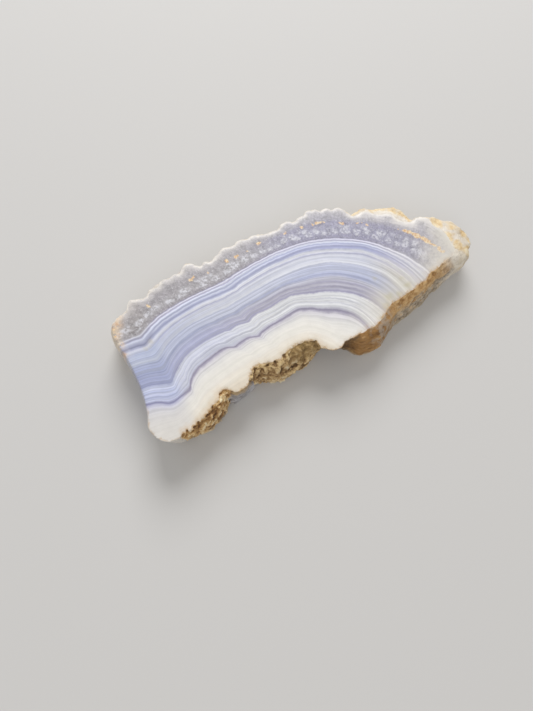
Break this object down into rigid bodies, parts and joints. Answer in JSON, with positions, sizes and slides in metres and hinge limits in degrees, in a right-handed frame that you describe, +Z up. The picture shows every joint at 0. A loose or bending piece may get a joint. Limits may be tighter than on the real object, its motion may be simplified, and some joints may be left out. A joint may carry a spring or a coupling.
{
  "type": "blue lace agate slab",
  "caption": "Long thin slab of banded pale blue agate, sawn flat above and below, with a knobbly crystal rind along the back and rough brown broken edges in front",
  "frame": {"origin": "centre of the bounding box on the sawn base, where the slab rests", "axes": "+X along the slab's length towards its rounded knobbly end, +Y towards the long crystal rind, +Z up out of the sawn top face"},
  "size_m": [0.0862, 0.0378, 0.009],
  "materials": {
    "agate": "fine-sawn matte faces with a slight waxy sheen, frosted crystal rind, rough brown and golden matrix on the front wall"
  },
  "bodies": {
    "root": {"agate_slab": "agate"}
  },
  "joints": []
}
